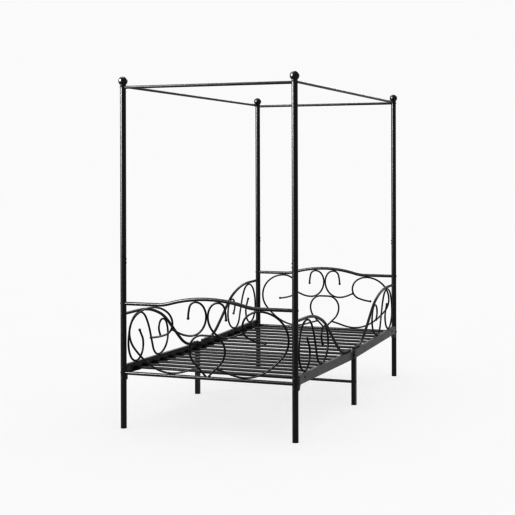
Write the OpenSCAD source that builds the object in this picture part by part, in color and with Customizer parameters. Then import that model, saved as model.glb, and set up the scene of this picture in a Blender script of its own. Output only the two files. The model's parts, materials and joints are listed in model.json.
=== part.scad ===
// Four poster canopy bed for a twin mattress: bolted steel tube with scrolled rod panels.
// The floor is z = 0, the origin is under the middle of the bed, the foot end faces -Y.

/* [Bed] */
// Distance between post centres across the bed
post_span_x = 1022; // [950:1:1400]
// Distance between post centres along the bed
post_span_y = 1936; // [1880:1:2100]
// Height of the centre of the ball finials
ball_z = 1931; // [1800:1:2100]

/* [Posts] */
// Outside diameter of the posts
post_d = 32; // [28:1:36]
// Wall of the post tube
post_wall = 1.5; // [1:0.1:2]
// Height where an upper post meets its lower post
joint_z = 956; // [950:1:1000]
// Length of the swaged spigot inside the lower post
spigot_len = 60; // [50:1:90]
// Diameter of the ball finials
ball_d = 51; // [44:1:60]

/* [Canopy] */
// Diameter of the canopy rails
canopy_d = 16; // [12:1:20]
// Height of the two rails across the bed
canopy_end_z = 1896; // [1750:1:1897]
// Height of the two rails along the bed
canopy_side_z = 1902; // [1757:1:1903]

/* [End panels] */
// Diameter of the top and bottom rail of the panels
panel_d = 19; // [16:1:22]
// Height of the flat part of a top rail
panel_top_z = 693; // [693:1:700]
// Height of a bottom rail
panel_bottom_z = 307; // [300:1:307]
// Diameter of the scrolled rods
rod_d = 10; // [8:0.5:10]
// Diameter of the ball caps on the rod tips
tip_d = 15; // [12:0.5:16]

/* [Side guards] */
// Diameter of the guard tubes
guard_d = 16; // [12:1:18]
// Height of a guard tube at its post
guard_z = 635; // [620:1:640]

/* [Side rails and slats] */
// Height of the underside of the side rails
rail_bottom_z = 299; // [290:1:300]
// Height of the side rail section
rail_h = 50; // [50:1:60]
// Drop of the side rails from the posts to the middle legs
rail_sag = 19; // [0:1:24]
// Width of the side rail flanges
rail_flange = 20; // [18:1:24]
// Sheet thickness of rails and brackets
sheet = 2; // [1.5:0.1:3]
// Width of a slat
slat_w = 36; // [30:1:44]
// Thickness of a slat
slat_h = 11; // [10:1:16]
// Distance from slat to slat
slat_pitch = 108; // [100:1:110]
// Distance of the first slat from the middle of the bed
slat_first = 60; // [55:1:70]

/* [Middle legs] */
// Side of the square tube of the middle legs
leg_w = 25; // [22:1:30]
// Distance of a middle leg from the bed's centre line
leg_x = 526.5; // [520:0.5:530]
// Height of the crossbar between the middle legs
crossbar_z = 140; // [80:1:200]

/* [Fasteners] */
// Diameter of the bolt shanks
bolt_d = 5; // [4:0.5:5]
// Diameter of the domed bolt heads
head_d = 12; // [9:0.5:13]

/* [Hidden] */
$fn = 48;
fit_gap = 0.2;
collar_len = 0.8;
collar_gap = 0.2;
collar_rise = 0.04;
straight_below = 0.6;
tube_wall = 1.2;
foot_flange = 4;
insert_len = 24;
rod_r = rod_d / 2;
px = post_span_x / 2;
py = post_span_y / 2;
post_r = post_d / 2;
post_bore = post_r - post_wall;
// The ball sits on the bore edge of the post.
post_top_z = ball_z - sqrt(pow(ball_d / 2, 2) - pow(post_bore, 2));
joint_bolt_z = [joint_z - 36, joint_z - 15];
bracket_bolt_z = [280, 334];
rail_top_z = rail_bottom_z + rail_h;
rail_x = px + post_r;
rail_y0 = leg_w / 2 + 1.2;
rail_y1 = py - post_r - 4;
rail_slope = asin(rail_sag / (rail_y1 - rail_y0));
bracket_len = 110;
bracket_foot_z = 268;
rail_bolt_y = py - 106;
rail_bolt_z = rail_bottom_z + 28;
leg_bolt_x = leg_x + 6.5;
leg_top_z = rail_top_z - rail_sag;
leg_bolt_z = leg_top_z - 25;
tab = 3;
// Outer face of a tab, level with the leg bolt.
tab_face_y = rail_y0 + tab - 0.3;
guard_bolt_y = 80;
guard_end_y = 36;
cap_len = 28;
cap_tongue = 30;
slat_x = rail_x - sheet - cap_len;
slat_z = rail_bottom_z + sheet + 9;
frame_black = "#1b1b1d";
rod_black = "#151516";
plastic_black = "#0c0c0d";
bolt_black = "#2a2a2c";

ENDS = ["foot", "head"];
SIDES = ["left", "right"];
CORNERS = [for (e = ENDS) for (s = SIDES) str(e, "_", s)];
SLATS = [for (i = [1:8]) str("slat_pair_", i)];

// ---- Placing -----------------------------------------------------------------

// Corners run foot left, foot right, head left, head right.
function corner_y(i) = i < 2 ? -1 : 1;
function corner_x(i) = i % 2 == 0 ? -1 : 1;

// A corner's pieces are drawn for the head end on the right and mirrored to the others.
module at_corner(i) {
    mirror([corner_x(i) < 0 ? 1 : 0, 0, 0])
        mirror([0, corner_y(i) < 0 ? 1 : 0, 0])
            children();
}

module at_all_corners() {
    for (i = [0:3])
        at_corner(i)
            children();
}

// The side rails slope down from the posts to the middle legs.
module on_slope() {
    translate([0, rail_y1, rail_bottom_z])
        rotate([rail_slope, 0, 0])
            translate([0, -rail_y1, -rail_bottom_z])
                children();
}
function rail_top_at(y) = rail_bottom_z + (y - rail_y1) * tan(rail_slope) + rail_h / cos(rail_slope);

// ---- Bending -----------------------------------------------------------------
// A bent tube or rod goes through a few stations, each [across, up, heading in degrees].
// Two tangent arcs join each station to the next, and a hair-thin collar joins arc to arc.

function unit(a) = [cos(a), sin(a)];
function meeting_offset(v, t0, t1) =
    let (s = t0 + t1, k = 2 * (1 - t0 * t1))
    k < 1e-6 ? (v * v) / (4 * (v * t1)) : (sqrt(pow(v * s, 2) + k * (v * v)) - v * s) / k;
function meeting_point(p0, t0, p1, t1) =
    let (d = meeting_offset(p1 - p0, t0, t1))
    (p0 + d * t0 + p1 - d * t1) / 2;
function cross_2d(a, b) = a[0] * b[1] - a[1] * b[0];

// One arc: [start point, heading, chord, turn].
function arc_between(p, heading, q) =
    let (w = q - p, t = unit(heading))
    [p, heading, norm(w), 2 * atan2(cross_2d(t, w), t * w)];
function arcs_of(stations) = [
    for (i = [0:len(stations) - 2])
        let (
            p0 = [stations[i][0], stations[i][1]],
            p1 = [stations[i + 1][0], stations[i + 1][1]],
            m = meeting_point(p0, unit(stations[i][2]), p1, unit(stations[i + 1][2])),
            first = arc_between(p0, stations[i][2], m),
            second = arc_between(m, stations[i][2] + first[3], p1)
        )
        each (is_straight(first) && is_straight(second)
            ? [arc_between(p0, stations[i][2], p1)]
            : [first, second])
];
function is_straight(arc) = abs(arc[3]) < straight_below;

module ring(r, bore) {
    difference() {
        circle(r);
        if (bore > 0)
            circle(bore);
    }
}

// Each length stops short of its ends by half the gap that a collar bridges.
module bent_length(arc, r, bore) {
    turn = arc[3];
    translate([arc[0][0], arc[0][1], 0])
        if (is_straight(arc)) {
            rotate([0, 0, arc[1] + turn / 2])
                rotate([90, 0, 90])
                    translate([0, 0, collar_gap / 2])
                        linear_extrude(arc[2] - collar_gap)
                            ring(r, bore);
        } else {
            bend = arc[2] / (2 * sin(abs(turn) / 2));
            trim = collar_gap / bend * 180 / PI;
            start = turn > 0 ? -90 : 90 - abs(turn);
            rotate([0, 0, arc[1]])
                translate([0, sign(turn) * bend, 0])
                    rotate([0, 0, start + trim / 2])
                        rotate_extrude(angle = abs(turn) - trim, $fn = 160)
                            translate([bend, 0])
                                ring(r, bore, $fn = 32);
        }
}

module collar(p, heading, r, bore) {
    translate([p[0], p[1], 0])
        rotate([0, 0, heading])
            rotate([90, 0, 90])
                linear_extrude(collar_len, center = true)
                    ring(r + collar_rise, bore - collar_rise);
}

module bent(stations, r, bore = 0) {
    arcs = arcs_of(stations);
    for (i = [0:len(arcs) - 1]) {
        bent_length(arcs[i], r, bore);
        if (i > 0)
            collar(arcs[i][0], arcs[i][1], r, bore);
    }
}

// A rod's free end carries a small ball cap.
module tip(station) {
    translate([station[0], station[1], 0])
        sphere(d = tip_d);
}

// ---- Fasteners ---------------------------------------------------------------

// A domed bolt with a hex socket, its head above z = 0 and its shank below.
module bolt(len) {
    head_h = 3.4;
    dome_r = (pow(head_d / 2, 2) + pow(head_h, 2)) / (2 * head_h);
    difference() {
        union() {
            intersection() {
                translate([0, 0, head_h - dome_r])
                    sphere(dome_r);
                cylinder(d = head_d, h = head_h);
            }
            translate([0, 0, -len])
                cylinder(d = bolt_d, h = len + 1);
        }
        translate([0, 0, 1.4])
            cylinder(d = 4, h = head_h, $fn = 6);
    }
}

module nut() {
    difference() {
        cylinder(d = 9.2, h = 4, $fn = 6);
        translate([0, 0, -1])
            cylinder(d = bolt_d, h = 6);
    }
}

// ---- Posts -------------------------------------------------------------------

module cross_hole_x(z) {
    translate([-post_d, 0, z])
        rotate([0, 90, 0])
            cylinder(d = bolt_d + 0.4, h = 2 * post_d);
}

module cross_hole_y(z) {
    translate([0, post_d, z])
        rotate([90, 0, 0])
            cylinder(d = bolt_d + 0.4, h = 2 * post_d);
}

// Holes for the two joint bolts, in the wall that faces the middle of the bed.
module joint_holes() {
    for (z = joint_bolt_z)
        translate([-post_d, 0, z])
            rotate([0, 90, 0])
                cylinder(d = bolt_d + 0.4, h = post_d);
}

module lower_post() {
    color(frame_black)
        translate([px, py, 0])
            difference() {
                translate([0, 0, foot_flange])
                    cylinder(r = post_r, h = joint_z - foot_flange);
                cylinder(r = post_bore, h = joint_z + 1);
                cross_hole_x(panel_top_z);
                cross_hole_x(panel_bottom_z);
                cross_hole_y(guard_z);
                for (z = bracket_bolt_z)
                    cross_hole_y(z);
                joint_holes();
            }
}

module upper_post() {
    spigot_r = post_bore - fit_gap;
    spigot_bore = spigot_r - post_wall;
    color(frame_black)
        translate([px, py, 0])
            difference() {
                rotate_extrude()
                    polygon([
                        [spigot_bore, joint_z - spigot_len],
                        [spigot_r, joint_z - spigot_len],
                        [spigot_r, joint_z],
                        [post_r, joint_z + 2.5],
                        [post_r, post_top_z],
                        [post_bore, post_top_z],
                        [post_bore, joint_z + 6],
                        [spigot_bore, joint_z + 2]
                    ]);
                cross_hole_x(canopy_end_z);
                cross_hole_y(canopy_side_z);
                joint_holes();
            }
}

// A hollow ball, open underneath where it is welded to the post.
module finial() {
    color(frame_black)
        translate([px, py, ball_z])
            difference() {
                sphere(d = ball_d);
                sphere(d = ball_d - 3);
                translate([0, 0, -ball_d])
                    cylinder(d = 10, h = ball_d);
            }
}

// ---- Straight tubes between posts ---------------------------------------------

// A tube along +Z with a threaded insert in each end, from one post's axis to the next.
module tube_with_inserts(len, d) {
    difference() {
        cylinder(d = d, h = len);
        translate([0, 0, post_r + insert_len])
            cylinder(d = d - 2 * tube_wall, h = len - 2 * (post_r + insert_len));
        translate([0, 0, -1])
            cylinder(d = bolt_d, h = post_r + insert_len + 2);
        translate([0, 0, len - post_r - insert_len - 1])
            cylinder(d = bolt_d, h = post_r + insert_len + 2);
    }
}

// The round notches that seat a rail against its two posts.
module post_notches_x(z) {
    for (x = [-px, px])
        translate([x, 0, z - 20])
            cylinder(r = post_r, h = 40);
}

module cross_tube(z, d) {
    difference() {
        translate([-px, 0, z])
            rotate([0, 90, 0])
                tube_with_inserts(post_span_x, d);
        post_notches_x(z);
    }
}

module canopy_end_rail() {
    color(frame_black)
        translate([0, py, 0])
            cross_tube(canopy_end_z, canopy_d);
}

module canopy_side_rail() {
    color(frame_black)
        translate([px, 0, 0])
            difference() {
                translate([0, -py, canopy_side_z])
                    rotate([-90, 0, 0])
                        tube_with_inserts(post_span_y, canopy_d);
                for (y = [-py, py])
                    translate([0, y, canopy_side_z - 20])
                        cylinder(r = post_r, h = 40);
            }
}

// ---- End panels ---------------------------------------------------------------

module upright() {
    rotate([90, 0, 0])
        children();
}

crown_z = panel_top_z + 40.5;
TOP_RAIL = [
    [-px + 40, panel_top_z, 0],
    [-300, panel_top_z, 0],
    [-225, panel_top_z + 10, 15.5],
    [0, crown_z, 0],
    [225, panel_top_z + 10, -15.5],
    [300, panel_top_z, 0],
    [px - 40, panel_top_z, 0]
];
BIG_SCROLL = [
    [340, 511, 176],
    [208, 592, 90],
    [312, panel_top_z - panel_d / 2 - rod_r, 0],
    [474, 530, -90],
    [375, 380, -142],
    [217, panel_bottom_z + panel_d / 2 + rod_r, -180],
    [120, 340, -198],
    [56.3, 358, -193]
];
HOOK_SCROLL = [
    [113, 626, 91],
    [67, 716, 180],
    [rod_r, 640, 270],
    [105, 531, 360],
    [209.7, 561.8, 388]
];
TEARDROP = [
    [5, 312, 48],
    [106, 457, 90],
    [30, 537, 180],
    [-30, 537, 180],
    [-106, 457, 270],
    [-5, 312, 312]
];

module panel_top_rail() {
    bore = panel_d / 2 - tube_wall;
    color(frame_black)
        translate([0, py, 0])
            union() {
                upright() {
                    bent(TOP_RAIL, panel_d / 2, bore);
                    for (end = [TOP_RAIL[0], TOP_RAIL[len(TOP_RAIL) - 1]])
                        collar(end, 0, panel_d / 2, bore);
                }
                for (side = [0, 1])
                    mirror([side, 0, 0])
                        rail_stub();
            }
}

// The last stretch of a top rail, filled by its threaded insert and notched to seat on the post.
module rail_stub() {
    difference() {
        translate([px - 40, 0, panel_top_z])
            rotate([0, 90, 0])
                cylinder(d = panel_d, h = 40);
        translate([px - 41, 0, panel_top_z])
            rotate([0, 90, 0])
                cylinder(d = bolt_d, h = 42);
        translate([px, 0, panel_top_z - 20])
            cylinder(r = post_r, h = 40);
    }
}

module panel_bottom_rail() {
    color(frame_black)
        translate([0, py, 0])
            cross_tube(panel_bottom_z, panel_d);
}

module big_scroll() {
    color(rod_black)
        translate([0, py, 0])
            upright() {
                bent(BIG_SCROLL, rod_r);
                tip(BIG_SCROLL[0]);
            }
}

module hook_scroll() {
    color(rod_black)
        translate([0, py, 0])
            upright() {
                bent(HOOK_SCROLL, rod_r);
                tip(HOOK_SCROLL[0]);
            }
}

// The teardrop's two ends stand on the bottom rail, notched to its round top.
module teardrop() {
    color(rod_black)
        translate([0, py, 0])
            difference() {
                upright()
                    bent(TEARDROP, rod_r);
                translate([-20, 0, panel_bottom_z])
                    rotate([0, 90, 0])
                        cylinder(d = panel_d, h = 40);
            }
}

// ---- Side guards ---------------------------------------------------------------

// A guard tube's lower end lies on the side rail.
function guard_axis_z(y) = rail_top_at(y) + guard_d / 2;
GUARD_TUBE = [
    [py - 40, guard_z, 180],
    [790, guard_z, 180],
    [600, guard_z - 28, 197],
    [500, guard_z - 67, 208],
    [380, guard_z - 153, 219],
    [270, guard_axis_z(270) + 53, 217],
    [120, guard_axis_z(120), 180 + rail_slope],
    [guard_end_y, guard_axis_z(guard_end_y), 180 + rail_slope]
];
GUARD_SCROLL = [
    [785, 520, 236],
    [743, 438, 270],
    [822, rail_top_at(822) + rod_r, 360],
    [914, 464, 450],
    [790, guard_z - guard_d / 2 - rod_r, 540],
    [664, 500, 609],
    [552, rail_top_at(552) + rod_r, 540],
    [438, 452, 450],
    [507, 547.5, 360],
    [553, 500, 270],
    [531, 448, 240]
];

// Turns the drawing plane so that across becomes Y and up becomes Z.
module lengthwise() {
    rotate([90, 0, 90])
        children();
}

module guard_tube() {
    color(frame_black)
        translate([px, 0, 0])
            difference() {
                union() {
                    lengthwise() {
                        bent(GUARD_TUBE, guard_d / 2, guard_d / 2 - tube_wall);
                        collar(GUARD_TUBE[0], 0, guard_d / 2, guard_d / 2 - tube_wall);
                    }
                    guard_stub();
                }
                translate([0, guard_bolt_y, rail_top_at(guard_bolt_y) - 1])
                    cylinder(d = bolt_d + 0.4, h = 2 * guard_d);
            }
}

module guard_stub() {
    difference() {
        translate([0, py - 40, guard_z])
            rotate([-90, 0, 0])
                cylinder(d = guard_d, h = 40);
        translate([0, py - 41, guard_z])
            rotate([-90, 0, 0])
                cylinder(d = bolt_d, h = 42);
        translate([0, py, guard_z - 20])
            cylinder(r = post_r, h = 40);
    }
}

module guard_scroll() {
    color(rod_black)
        translate([px, 0, 0])
            lengthwise() {
                bent(GUARD_SCROLL, rod_r);
                tip(GUARD_SCROLL[0]);
                tip(GUARD_SCROLL[len(GUARD_SCROLL) - 1]);
            }
}

// ---- Side rails, brackets and slats ----------------------------------------------

// Half a side rail: a channel open towards the bed, with a tab welded to its middle end.
module side_rail() {
    len = rail_y1 - rail_y0;
    color(frame_black)
        difference() {
            on_slope()
                union() {
                    translate([rail_x - sheet, rail_y0, rail_bottom_z])
                        cube([sheet, len, rail_h]);
                    for (z = [rail_bottom_z, rail_top_z - sheet])
                        translate([rail_x - rail_flange, rail_y0, z])
                            cube([rail_flange, len, sheet]);
                    translate([rail_x - rail_flange, rail_y0, rail_bottom_z])
                        cube([leg_x + leg_w / 2 - rail_x + rail_flange, tab, rail_h]);
                }
            translate([leg_bolt_x, 0, leg_bolt_z])
                rotate([-90, 0, 0])
                    cylinder(d = bolt_d + 0.4, h = 30);
            on_slope()
                rail_bolt_hole();
            translate([px, guard_bolt_y, rail_top_at(guard_bolt_y) - 10])
                cylinder(d = bolt_d + 0.4, h = 20);
        }
}

module rail_bolt_hole() {
    translate([rail_x - 10, rail_bolt_y, rail_bolt_z])
        rotate([0, 90, 0])
            cylinder(d = bolt_d + 0.4, h = 20);
}

// An angle that hooks a side rail to its post: one leaf against the post, one inside the rail.
module rail_bracket() {
    back_y = py - post_r;
    leaf_top = rail_top_z - sheet - 1;
    difference() {
        union() {
            translate([px - 14, back_y - tab, bracket_foot_z])
                cube([rail_x - sheet - px + 14, tab, leaf_top - bracket_foot_z]);
            on_slope()
                translate([rail_x - sheet - tab, 0, 0])
                    rotate([90, 0, 90])
                        linear_extrude(tab)
                            polygon([
                                [back_y - 1, bracket_foot_z + 1],
                                [back_y - 1, leaf_top],
                                [back_y - bracket_len, leaf_top],
                                [back_y - bracket_len, rail_bottom_z + sheet],
                                [back_y - 30, rail_bottom_z + sheet],
                                [back_y - 12, bracket_foot_z + 1]
                            ]);
        }
        for (z = bracket_bolt_z)
            translate([px, back_y - 10, z])
                rotate([-90, 0, 0])
                    cylinder(d = bolt_d + 0.4, h = 20);
        on_slope()
            rail_bolt_hole();
    }
}

module rail_brackets() {
    color(frame_black)
        at_all_corners()
            rail_bracket();
}

function slat_y(i) = slat_first + i * slat_pitch;

module slat_profile(w, h) {
    translate([h / 2 - w / 2, 0])
        circle(d = h);
    translate([w / 2 - h / 2, 0])
        circle(d = h);
    square([w - h, h], center = true);
}

// A slat is a flat-sided oval tube across the bed.
module slat() {
    translate([-slat_x, 0, slat_z + slat_h / 2])
        rotate([90, 0, 90])
            linear_extrude(2 * slat_x)
                difference() {
                    slat_profile(slat_w, slat_h);
                    slat_profile(slat_w - 2 * tube_wall, slat_h - 2 * tube_wall);
                }
}

// The two slats at the same distance from the middle of the bed.
module slat_pair(i) {
    color(frame_black)
        for (end = [0, 1])
            mirror([0, end, 0])
                on_slope()
                    translate([0, slat_y(i), 0])
                        slat();
}

// A moulded block that stands in the side rail, with a tongue inside the slat's end.
module slat_cap() {
    cap_w = slat_w + 6;
    tongue_w = slat_w - 2 * tube_wall - fit_gap;
    tongue_h = slat_h - 2 * tube_wall - fit_gap;
    translate([slat_x, -cap_w / 2, rail_bottom_z + sheet])
        cube([cap_len, cap_w, slat_z + slat_h - rail_bottom_z - sheet]);
    translate([slat_x - cap_tongue, 0, slat_z + slat_h / 2])
        rotate([90, 0, 90])
            linear_extrude(cap_tongue + 1)
                slat_profile(tongue_w, tongue_h);
}

module slat_caps() {
    color(plastic_black)
        for (i = [0:7])
            at_all_corners()
                on_slope()
                    translate([0, slat_y(i), 0])
                        slat_cap();
}

// ---- Middle legs -------------------------------------------------------------------

module middle_leg() {
    color(frame_black)
        translate([leg_x, 0, foot_flange])
            difference() {
                linear_extrude(leg_top_z - foot_flange)
                    difference() {
                        square(leg_w, center = true);
                        square(leg_w - 3, center = true);
                    }
                translate([leg_bolt_x - leg_x, leg_w, leg_bolt_z - foot_flange])
                    rotate([90, 0, 0])
                        cylinder(d = bolt_d + 0.4, h = 2 * leg_w);
                translate([-leg_w, 0, crossbar_z - foot_flange])
                    rotate([0, 90, 0])
                        cylinder(d = bolt_d + 0.4, h = 2 * leg_w);
            }
}

module crossbar() {
    half = leg_x - leg_w / 2;
    color(frame_black)
        translate([-half, 0, crossbar_z])
            rotate([0, 90, 0])
                difference() {
                    cylinder(d = canopy_d, h = 2 * half);
                    translate([0, 0, insert_len])
                        cylinder(d = canopy_d - 2 * tube_wall, h = 2 * (half - insert_len));
                    translate([0, 0, -1])
                        cylinder(d = bolt_d, h = 2 * half + 2);
                }
}

// ---- Plastic feet and plugs -----------------------------------------------------------

module foot_caps() {
    color(plastic_black) {
        at_all_corners()
            translate([px, py, 0]) {
                cylinder(d = post_d + 0.6, h = foot_flange);
                cylinder(r = post_bore - 0.1, h = 22);
            }
        for (x = [-leg_x, leg_x])
            translate([x, 0, 0]) {
                translate([-leg_w / 2 - 0.3, -leg_w / 2 - 0.3, 0])
                    cube([leg_w + 0.6, leg_w + 0.6, foot_flange]);
                translate([0, 0, 11])
                    cube([leg_w - 3.2, leg_w - 3.2, 22], center = true);
            }
    }
}

module tube_plugs() {
    color(plastic_black) {
        at_all_corners()
            translate([px, guard_end_y, guard_axis_z(guard_end_y)])
                rotate([90 + rail_slope, 0, 0]) {
                    cylinder(d = guard_d, h = 3);
                    translate([0, 0, -12])
                        cylinder(d = guard_d - 2 * tube_wall - fit_gap, h = 13);
                }
        for (x = [-leg_x, leg_x])
            translate([x, 0, leg_top_z]) {
                translate([-leg_w / 2, -leg_w / 2, 0])
                    cube([leg_w, leg_w, 3]);
                translate([0, 0, -5])
                    cube([leg_w - 3.2, leg_w - 3.2, 12], center = true);
            }
    }
}

// ---- Bolts and nuts ----------------------------------------------------------------------

// Bolts that run through the posts.
module post_bolts() {
    through = 2 * post_r;
    color(bolt_black)
        at_all_corners() {
            for (z = [panel_bottom_z, panel_top_z, canopy_end_z])
                translate([px + post_r, py, z])
                    rotate([0, 90, 0])
                        bolt(through + 20);
            for (z = [guard_z, canopy_side_z])
                translate([px, py + post_r, z])
                    rotate([-90, 0, 0])
                        bolt(through + 20);
            for (z = bracket_bolt_z)
                translate([px, py + post_r, z])
                    rotate([-90, 0, 0])
                        bolt(through + 8);
            for (z = joint_bolt_z)
                translate([px - post_r, py, z])
                    rotate([0, -90, 0])
                        bolt(12);
        }
}

// Bolts of the side rails, the guards' lower ends and the middle legs.
module rail_bolts() {
    color(bolt_black) {
        at_all_corners() {
            on_slope()
                translate([rail_x, rail_bolt_y, rail_bolt_z])
                    rotate([0, 90, 0])
                        bolt(11);
            translate([px, guard_bolt_y, guard_axis_z(guard_bolt_y) + guard_d / 2 - 0.5])
                bolt(guard_d + sheet + 5);
        }
        for (side = [0, 1])
            mirror([side, 0, 0]) {
                translate([leg_bolt_x, -tab_face_y, leg_bolt_z])
                    rotate([90, 0, 0])
                        bolt(2 * tab_face_y + 5);
                translate([leg_x + leg_w / 2, 0, crossbar_z])
                    rotate([0, 90, 0])
                        bolt(leg_w + 18);
            }
    }
}

module hex_nuts() {
    color(bolt_black) {
        at_all_corners() {
            for (z = bracket_bolt_z)
                translate([px, py - post_r - tab, z])
                    rotate([90, 0, 0])
                        nut();
            on_slope()
                translate([rail_x - sheet - tab, rail_bolt_y, rail_bolt_z])
                    rotate([0, -90, 0])
                        nut();
            translate([px, guard_bolt_y, rail_top_at(guard_bolt_y) - sheet - fit_gap])
                rotate([180, 0, 0])
                    nut();
        }
        for (side = [0, 1])
            mirror([side, 0, 0])
                translate([leg_bolt_x, tab_face_y, leg_bolt_z])
                    rotate([-90, 0, 0])
                        nut();
    }
}

// ---- The bed -------------------------------------------------------------------------------

for (i = [0:3]) {
    at_corner(i) lower_post();
    at_corner(i) upper_post();
    at_corner(i) finial();
    at_corner(i) big_scroll();
    at_corner(i) hook_scroll();
    at_corner(i) guard_tube();
    at_corner(i) guard_scroll();
    at_corner(i) side_rail();
}
for (i = [0, 1]) {
    at_corner(2 * i + 1) canopy_end_rail();
    at_corner(2 * i + 1) panel_top_rail();
    at_corner(2 * i + 1) panel_bottom_rail();
    at_corner(2 * i + 1) teardrop();
    at_corner(i) canopy_side_rail();
    at_corner(i) middle_leg();
}
for (i = [0:7])
    slat_pair(i);
crossbar();
rail_brackets();
foot_caps();
slat_caps();
tube_plugs();
post_bolts();
rail_bolts();
hex_nuts();
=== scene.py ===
"""Looks of the four poster canopy bed: powder coat, plastic, weld beads, studio and camera."""

import json
import math
import random

import bmesh
import bpy
import numpy as np
from mathutils import Matrix, Vector
from mathutils.bvhtree import BVHTree


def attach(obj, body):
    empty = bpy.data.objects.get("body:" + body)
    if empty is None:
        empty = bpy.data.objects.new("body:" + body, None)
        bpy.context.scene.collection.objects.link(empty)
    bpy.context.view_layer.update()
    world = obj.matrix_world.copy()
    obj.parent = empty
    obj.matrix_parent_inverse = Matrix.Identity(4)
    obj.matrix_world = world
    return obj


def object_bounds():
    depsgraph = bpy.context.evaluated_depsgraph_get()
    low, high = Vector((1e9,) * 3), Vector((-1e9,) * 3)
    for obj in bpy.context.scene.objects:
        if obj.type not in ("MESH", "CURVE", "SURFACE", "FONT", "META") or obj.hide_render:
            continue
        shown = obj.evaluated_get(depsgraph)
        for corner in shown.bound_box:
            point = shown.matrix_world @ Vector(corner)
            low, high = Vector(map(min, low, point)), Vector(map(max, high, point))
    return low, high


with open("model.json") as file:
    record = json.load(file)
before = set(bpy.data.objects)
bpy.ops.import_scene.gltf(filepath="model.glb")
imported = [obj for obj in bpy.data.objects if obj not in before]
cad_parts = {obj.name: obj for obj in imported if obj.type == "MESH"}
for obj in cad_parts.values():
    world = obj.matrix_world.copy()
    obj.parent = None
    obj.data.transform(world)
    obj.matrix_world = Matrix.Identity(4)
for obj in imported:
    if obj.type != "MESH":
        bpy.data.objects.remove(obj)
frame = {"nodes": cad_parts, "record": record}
cad_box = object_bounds()
nodes = frame["nodes"]
record = frame["record"]
rng = random.Random(7)
scene = bpy.context.scene

SLOT_OF = {s["node"]: s["material_slot"] for s in record["subparts"]}


# ---- Node helpers ---------------------------------------------------------------

class Graph:
    """Adds nodes to one new material and links them."""

    def __init__(self, name):
        self.material = bpy.data.materials.new(name)
        self.material.use_nodes = True
        self.tree = self.material.node_tree
        self.bsdf = self.tree.nodes["Principled BSDF"]
        self.coords = self.add("ShaderNodeTexCoord").outputs["Object"]

    def add(self, kind, **settings):
        node = self.tree.nodes.new(kind)
        for key, value in settings.items():
            setattr(node, key, value)
        return node

    def link(self, output, socket):
        self.tree.links.new(output, socket)

    def noise(self, scale, detail=3.0, rough=0.5, stretch=None):
        node = self.add("ShaderNodeTexNoise")
        node.inputs["Scale"].default_value = scale
        node.inputs["Detail"].default_value = detail
        node.inputs["Roughness"].default_value = rough
        coords = self.coords
        if stretch:
            mapping = self.add("ShaderNodeMapping")
            mapping.inputs["Scale"].default_value = stretch
            self.link(coords, mapping.inputs["Vector"])
            coords = mapping.outputs["Vector"]
        self.link(coords, node.inputs["Vector"])
        return node.outputs["Fac"]

    def spots(self, scale, low, high):
        """Small separate dots, 1 inside a dot and 0 outside."""
        node = self.add("ShaderNodeTexVoronoi", feature="F1")
        node.inputs["Scale"].default_value = scale
        self.link(self.coords, node.inputs["Vector"])
        return self.span(node.outputs["Distance"], low, high, 1.0, 0.0)

    def span(self, value, low, high, to_low, to_high):
        """Maps low..high to to_low..to_high and holds the ends."""
        node = self.add("ShaderNodeMapRange", clamp=True)
        self.link(value, node.inputs["Value"])
        node.inputs["From Min"].default_value = low
        node.inputs["From Max"].default_value = high
        node.inputs["To Min"].default_value = to_low
        node.inputs["To Max"].default_value = to_high
        return node.outputs["Result"]

    def math(self, operation, a, b):
        node = self.add("ShaderNodeMath", operation=operation)
        for socket, value in zip(node.inputs, (a, b)):
            if isinstance(value, (int, float)):
                socket.default_value = value
            else:
                self.link(value, socket)
        return node.outputs["Value"]

    def mix_color(self, factor, a, b):
        """Colour a where the factor is 0 and colour b where it is 1."""
        node = self.add("ShaderNodeMix", data_type="RGBA")
        self.link(factor, node.inputs["Factor"])
        color_a, color_b, result = node.inputs[6], node.inputs[7], node.outputs[2]
        for socket, value in ((color_a, a), (color_b, b)):
            if isinstance(value, tuple):
                socket.default_value = (*value, 1.0)
            else:
                self.link(value, socket)
        return result

    def bump(self, height, distance):
        node = self.add("ShaderNodeBump")
        node.inputs["Strength"].default_value = 1.0
        node.inputs["Distance"].default_value = distance
        self.link(height, node.inputs["Height"])
        return node.outputs["Normal"]

    def edges(self, radius):
        """1 on outside edges and 0 on flat or gently curved faces."""
        bevel = self.add("ShaderNodeBevel", samples=4)
        bevel.inputs["Radius"].default_value = radius
        geometry = self.add("ShaderNodeNewGeometry")
        dot = self.add("ShaderNodeVectorMath", operation="DOT_PRODUCT")
        self.link(bevel.outputs["Normal"], dot.inputs[0])
        self.link(geometry.outputs["Normal"], dot.inputs[1])
        return self.span(dot.outputs["Value"], 0.80, 0.97, 1.0, 0.0)


def scaled(color, factor):
    return tuple(c * factor for c in color)


RUBBED_PAINT = (0.075, 0.073, 0.072)
SCUFFED_PLASTIC = (0.05, 0.05, 0.051)
RUBBED_STEEL = (0.16, 0.155, 0.15)


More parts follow.
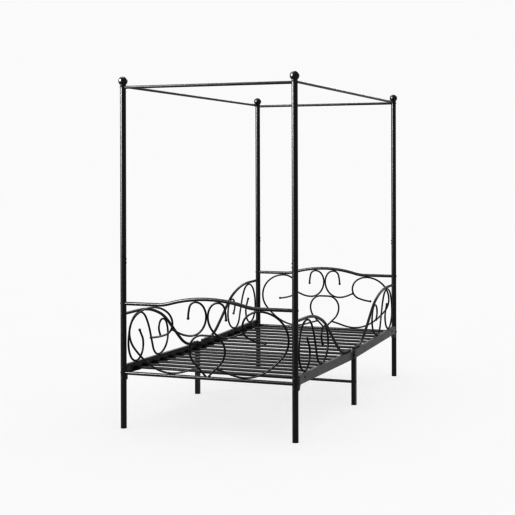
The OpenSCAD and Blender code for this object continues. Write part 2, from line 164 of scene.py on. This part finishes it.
def powder_coat(name, color, rough, peel, specular=0.5, coat=0.0):
    """Baked powder: orange peel (its height in metres), fine fleck, haze and rubbed edges."""
    g = Graph(name)
    patches = g.noise(9.0, 2.0)
    mottle = g.noise(160.0, 4.0, 0.6)
    fleck = g.spots(1400.0, 0.10, 0.28)
    tone = g.mix_color(g.span(patches, 0.35, 0.65, 0.0, 1.0), scaled(color, 0.86), scaled(color, 1.12))
    tone = g.mix_color(g.span(mottle, 0.45, 0.75, 0.0, 0.45), tone, scaled(color, 1.35))
    tone = g.mix_color(g.math("MULTIPLY", fleck, 0.35), tone, scaled(color, 1.9))
    worn = g.math("MULTIPLY", g.edges(0.0009), g.span(g.noise(240.0, 3.0), 0.48, 0.62, 0.0, 0.55))
    tone = g.mix_color(worn, tone, RUBBED_PAINT)
    g.link(tone, g.bsdf.inputs["Base Color"])
    haze = g.span(g.noise(34.0, 3.0), 0.3, 0.7, rough - 0.035, rough + 0.045)
    g.link(g.math("ADD", haze, g.math("MULTIPLY", fleck, 0.08)), g.bsdf.inputs["Roughness"])
    height = g.math("ADD", g.noise(520.0, 2.0), g.math("MULTIPLY", g.noise(2100.0, 1.0), 0.35))
    g.link(g.bump(height, peel), g.bsdf.inputs["Normal"])
    g.bsdf.inputs["Specular IOR Level"].default_value = specular
    g.bsdf.inputs["Coat Weight"].default_value = coat
    g.bsdf.inputs["Coat Roughness"].default_value = 0.12
    return g.material


def moulded_plastic(name, color):
    """Spark-eroded mould texture with scuffs."""
    g = Graph(name)
    grain = g.noise(900.0, 3.0, 0.7)
    scuff = g.span(g.noise(70.0, 4.0, 0.6, (1.0, 1.0, 3.0)), 0.56, 0.74, 0.0, 1.0)
    tone = g.mix_color(g.span(grain, 0.3, 0.7, 0.0, 1.0), scaled(color, 0.8), scaled(color, 1.25))
    tone = g.mix_color(g.math("MULTIPLY", scuff, 0.5), tone, SCUFFED_PLASTIC)
    g.link(tone, g.bsdf.inputs["Base Color"])
    g.link(g.span(grain, 0.3, 0.7, 0.50, 0.66), g.bsdf.inputs["Roughness"])
    g.link(g.bump(grain, 0.00012), g.bsdf.inputs["Normal"])
    g.bsdf.inputs["Specular IOR Level"].default_value = 0.4
    return g.material


def black_oxide(name, color):
    """Blackened steel with fine grain, oily patches and bright rubbed edges."""
    g = Graph(name)
    patch = g.noise(180.0, 3.0)
    tone = g.mix_color(g.span(patch, 0.4, 0.65, 0.0, 1.0), scaled(color, 0.8), scaled(color, 1.6))
    worn = g.math("MULTIPLY", g.edges(0.0005), g.span(g.noise(500.0, 2.0), 0.42, 0.6, 0.1, 0.8))
    tone = g.mix_color(worn, tone, RUBBED_STEEL)
    g.link(tone, g.bsdf.inputs["Base Color"])
    g.link(g.span(patch, 0.35, 0.65, 0.24, 0.40), g.bsdf.inputs["Roughness"])
    g.link(g.bump(g.noise(1500.0, 2.0), 0.00004), g.bsdf.inputs["Normal"])
    g.bsdf.inputs["Metallic"].default_value = 0.35
    return g.material


BLACK = (0.006, 0.006, 0.007)
SOFT_BLACK = (0.010, 0.010, 0.011)
SLAT_BLACK = (0.012, 0.012, 0.013)
# Painted sheen: the rails wear the same black powder coat as the frame, and this lighter grey stands in for
# the light their faces reflect.
RAIL_GREY_PAINTED_SHEEN = (0.102, 0.102, 0.104)
WELD_BLACK = (0.009, 0.009, 0.010)
STEEL_BLACK = (0.016, 0.016, 0.017)
PLASTIC_BLACK = (0.008, 0.008, 0.0085)

MATERIALS = {
    "frame_paint": powder_coat("frame_powder_coat", SOFT_BLACK, 0.30, peel=0.00002),
    "rod_paint": powder_coat("rod_powder_coat", BLACK, 0.30, peel=0.00001, specular=0.28),
    # The rails' grey base colour is painted sheen over black powder coat.
    "rail_paint": powder_coat("rail_powder_coat_painted_sheen", RAIL_GREY_PAINTED_SHEEN, 0.40, peel=0.00003),
    "slat_paint": powder_coat("slat_powder_coat", SLAT_BLACK, 0.40, peel=0.00003, specular=0.28),
    "ball_paint": powder_coat("ball_enamel", BLACK, 0.24, peel=0.00001, coat=0.25),
    "bolt_steel": black_oxide("bolt_black_oxide", STEEL_BLACK),
    "black_plastic": moulded_plastic("black_plastic", PLASTIC_BLACK),
}
WELD_PAINT = powder_coat("weld_powder_coat", WELD_BLACK, 0.34, peel=0.0002)

for name, obj in nodes.items():
    obj.data.materials.clear()
    obj.data.materials.append(MATERIALS[SLOT_OF[name]])


# ---- Weld beads -------------------------------------------------------------------

MESHES = {}


def mesh_of(name):
    """A node's surface points and a search tree over its faces, made once."""
    if name not in MESHES:
        mesh = nodes[name].data
        points = [v.co.copy() for v in mesh.vertices]
        tree = BVHTree.FromPolygons(points, [tuple(p.vertices) for p in mesh.polygons])
        MESHES[name] = (points, tree)
    return MESHES[name]


# Lengths in metres. A rod's direction is taken from its surface points within DIRECTION_REACH.
CONTACT_GAP = 0.0012
WELD_SPACING = 0.03
DIRECTION_REACH = 0.012
FEWEST_POINTS = 8
WELD_LENGTH = 0.012
WELD_RADIUS = 0.0022
CREVICE_OFFSET = 0.0030
RIPPLE_DEPTH = 0.10
RIPPLE_RATE = 9.0


def touching(rod, other):
    """Places where a rod's surface meets another piece: [(point, normal of the other piece)]."""
    points, _ = mesh_of(rod)
    _, tree = mesh_of(other)
    near = []
    for p in points:
        hit, normal, _, distance = tree.find_nearest(p, CONTACT_GAP)
        if hit is not None:
            near.append((distance, p, normal))
    near.sort(key=lambda item: item[0])
    found = []
    for _, p, normal in near:
        if all((p - q).length > WELD_SPACING for q, _ in found):
            found.append((p, normal))
    return found


def direction_at(rod, place):
    """The rod's own direction near a place, from the spread of its surface points."""
    points, _ = mesh_of(rod)
    near = np.array([p for p in points if (p - place).length < DIRECTION_REACH])
    if len(near) < FEWEST_POINTS:
        return Vector((0, 0, 1))
    centred = near - near.mean(0)
    _, _, axes = np.linalg.svd(centred, full_matrices=False)
    return Vector(axes[0])


def add_bead(bm, place, along, out):
    """One weld bead: a lump with ripples across its length."""
    side = along.cross(out).normalized()
    axes = Matrix((along, side, out)).transposed().to_4x4()
    axes.translation = place
    made = bmesh.ops.create_uvsphere(bm, u_segments=14, v_segments=12, radius=1.0)
    phase = rng.random() * math.tau
    for v in made["verts"]:
        x, y, z = v.co.z, v.co.x, v.co.y
        ripple = 1.0 + RIPPLE_DEPTH * math.sin(RIPPLE_RATE * x + phase)
        v.co = axes @ Vector((x * WELD_LENGTH / 2, y * WELD_RADIUS * ripple, z * WELD_RADIUS * ripple))


def weld(name, pairs):
    """Beads in both crevices of every place where the first piece of a pair touches the second."""
    bm = bmesh.new()
    for rod, other in pairs:
        for place, normal in touching(rod, other):
            along = direction_at(rod, place)
            along = (along - along.dot(normal) * normal).normalized()
            side = normal.cross(along).normalized()
            for sign in (-1, 1):
                add_bead(bm, place + sign * CREVICE_OFFSET * side, along, normal)
    mesh = bpy.data.meshes.new(name)
    bm.to_mesh(mesh)
    bm.free()
    for polygon in mesh.polygons:
        polygon.use_smooth = True
    obj = bpy.data.objects.new(name, mesh)
    scene.collection.objects.link(obj)
    mesh.materials.append(WELD_PAINT)
    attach(obj, "root")


for end in ("foot", "head"):
    pairs = [(f"teardrop_{end}", f"panel_bottom_rail_{end}")]
    for side in ("left", "right"):
        corner = f"{end}_{side}"
        pairs += [
            (f"big_scroll_{corner}", f"panel_top_rail_{end}"),
            (f"big_scroll_{corner}", f"panel_bottom_rail_{end}"),
            (f"big_scroll_{corner}", f"teardrop_{end}"),
            (f"hook_scroll_{corner}", f"panel_top_rail_{end}"),
            (f"hook_scroll_{corner}", f"teardrop_{end}"),
            (f"hook_scroll_{corner}", f"big_scroll_{corner}"),
        ]
    pairs.append((f"hook_scroll_{end}_left", f"hook_scroll_{end}_right"))
    weld(f"panel_welds_{end}", pairs)
    for side in ("left", "right"):
        corner = f"{end}_{side}"
        weld(f"guard_welds_{corner}", [
            (f"guard_scroll_{corner}", f"guard_tube_{corner}"),
            (f"guard_scroll_{corner}", f"side_rail_{corner}"),
        ])


# ---- Studio ------------------------------------------------------------------------

# The floor is partly lit and partly glowing, so that it is as bright as the backdrop behind it.
WHITE = 0.975
GLOW = 0.8
FLOOR_SIZE = 80.0
FLOOR_TONES = ((0.198, 0.198, 0.198), (0.202, 0.202, 0.202))


def make_floor(height):
    h = FLOOR_SIZE / 2
    mesh = bpy.data.meshes.new("floor")
    mesh.from_pydata([(-h, -h, 0), (h, -h, 0), (h, h, 0), (-h, h, 0)], [], [(0, 1, 2, 3)])
    floor = bpy.data.objects.new("floor", mesh)
    floor.location = (0.0, 0.0, height)
    scene.collection.objects.link(floor)
    g = Graph("floor_paint")
    clouds = g.noise(2.0, 3.0)
    g.link(g.mix_color(g.span(clouds, 0.3, 0.7, 0.0, 1.0), *FLOOR_TONES), g.bsdf.inputs["Base Color"])
    g.link(g.span(clouds, 0.3, 0.7, 0.85, 0.95), g.bsdf.inputs["Roughness"])
    g.bsdf.inputs["Specular IOR Level"].default_value = 0.0
    g.bsdf.inputs["Emission Color"].default_value = (1.0, 1.0, 1.0, 1.0)
    g.bsdf.inputs["Emission Strength"].default_value = WHITE * GLOW
    mesh.materials.append(g.material)


make_floor(cad_box[0][2] - 0.0005)

world = bpy.data.worlds.new("studio")
scene.world = world
world.use_nodes = True
backdrop = world.node_tree.nodes["Background"]
backdrop.inputs["Color"].default_value = (1.0, 1.0, 1.0, 1.0)
backdrop.inputs["Strength"].default_value = WHITE


def soft_box(name, location, target, width, height, radiance):
    """A lamp that only shows as a highlight on the paint and leaves the white floor even."""
    data = bpy.data.lights.new(name, "AREA")
    data.shape = "RECTANGLE"
    data.size = width
    data.size_y = height
    data.energy = radiance * math.pi * width * height
    obj = bpy.data.objects.new(name, data)
    obj.location = location
    obj.rotation_euler = (Vector(target) - Vector(location)).to_track_quat("-Z", "Y").to_euler()
    obj.visible_diffuse = False
    obj.visible_camera = False
    scene.collection.objects.link(obj)


soft_box("soft_box_left_high", (-4.4, -4.2, 3.9), (0.0, 0.0, 2.4), 4.4, 3.4, 32.0)
soft_box("soft_box_left_low", (-4.6, -4.4, 1.6), (0.0, 0.0, 1.4), 4.4, 1.6, 18.0)
soft_box("soft_box_back", (-0.5, 6.0, 5.0), (0.0, 0.0, 0.8), 8.0, 3.0, 3.4)
soft_box("soft_box_above", (-1.4, -0.4, 5.4), (-0.2, 0.0, 0.6), 2.6, 3.4, 5.0)

# ---- Camera ------------------------------------------------------------------------

# A level camera, so that the posts stay upright, with its view shifted left and down.
CAMERA_PLACE = Vector((2.532, -6.294, 1.435))
YAW = math.radians(18.88)
ROLL = math.radians(-0.143)
FOCAL_LENGTH = 75.61
SHIFT = (-0.1421, -0.1706)

# A view gamma under 1 deepens the blacks and keeps the white.
VIEW_GAMMA = 0.58

camera_data = bpy.data.cameras.new("camera")
camera_data.sensor_width = 36.0
camera_data.lens = FOCAL_LENGTH
camera_data.shift_x, camera_data.shift_y = SHIFT
camera_data.clip_end = 200.0
camera = bpy.data.objects.new("camera", camera_data)
turned = Matrix.Rotation(YAW, 4, "Z") @ Matrix.Rotation(math.pi / 2, 4, "X") @ Matrix.Rotation(ROLL, 4, "Z")
camera.matrix_world = Matrix.Translation(CAMERA_PLACE) @ turned
scene.collection.objects.link(camera)
scene.camera = camera
scene.view_settings.view_transform = "Standard"
scene.view_settings.gamma = VIEW_GAMMA
